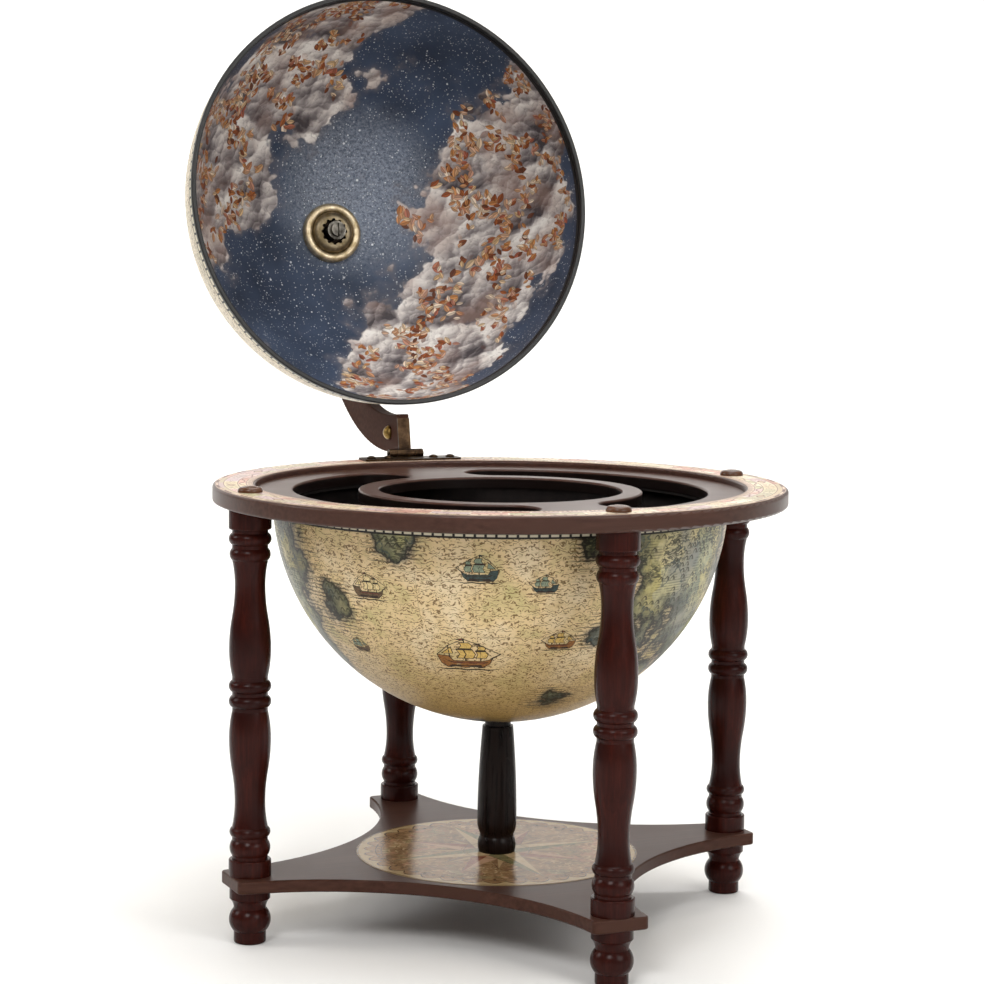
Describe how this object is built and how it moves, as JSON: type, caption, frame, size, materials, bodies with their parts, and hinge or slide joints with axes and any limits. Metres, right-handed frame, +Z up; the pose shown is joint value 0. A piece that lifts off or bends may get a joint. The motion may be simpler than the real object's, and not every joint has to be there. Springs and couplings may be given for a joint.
{
  "type": "floor globe bar",
  "caption": "Globe on a turned four-legged stand, with a shelf below; its upper half hinges back as a lid over a pierced table board and a hollow bowl.",
  "frame": {"origin": "on the floor, on the stand's axis, midway between the four feet", "axes": "+Z up; +Y from the stand's axis to the back leg, beside the hinge; +X to the right seen from the front"},
  "size_m": [0.416, 0.6677, 0.6897],
  "materials": {
    "stained_wood": "dark mahogany stain, satin lacquer",
    "ebonised_wood": "near-black stain, satin lacquer",
    "well_board": "dark stain, matt",
    "printed_card": "printed card under lacquer",
    "globe_shell": "printed skin on a moulded shell, satin lacquer",
    "rim_plastic": "dark moulded hoop",
    "cap_plastic": "brown domed caps",
    "bronzed_steel": "bronzed",
    "plain_steel": "plain",
    "brass": "aged brass"
  },
  "bodies": {
    "stand": {"table_ring": "stained_wood", "horizon_print": "printed_card", "lower_hemisphere": "globe_shell", "bowl_screws": "plain_steel", "well_floor": "well_board", "leg_front": "stained_wood", "leg_right": "stained_wood", "leg_back": "stained_wood", "leg_left": "stained_wood", "foot_front": "stained_wood", "foot_right": "stained_wood", "foot_back": "stained_wood", "foot_left": "stained_wood", "leg_bolts": "plain_steel", "bolt_caps": "cap_plastic", "leg_studs": "plain_steel", "shelf": "stained_wood", "compass_print": "printed_card", "centre_post": "ebonised_wood", "post_collar": "ebonised_wood", "post_washers": "plain_steel", "post_screws": "plain_steel", "hinge_base_leaf": "bronzed_steel", "hinge_pin": "bronzed_steel", "hinge_screws": "plain_steel"},
    "meridian": {"meridian_board": "stained_wood", "hinge_strap": "bronzed_steel", "hinge_cross_bolt": "plain_steel", "hinge_dome_nuts": "brass", "pole_screw": "plain_steel", "pole_washer": "plain_steel", "pole_sleeve": "plain_steel", "pole_bush": "brass", "pole_knob": "brass"},
    "lid": {"upper_hemisphere": "globe_shell", "lid_rim": "rim_plastic", "pole_rosette": "brass"}
  },
  "joints": [
    {"name": "lid_hinge", "type": "hinge", "parent": "stand", "child": "meridian", "pos_m": [0.00856, 0.20432, 0.3241], "axis": [0.9991, -0.0419, 0], "range_deg": [0, 100.7]},
    {"name": "lid_spin", "type": "hinge", "parent": "meridian", "child": "lid", "pos_m": [0.01, 0.23862, 0.52573], "axis": [0.0411, 0.9818, -0.1857], "continuous": true}
  ]
}
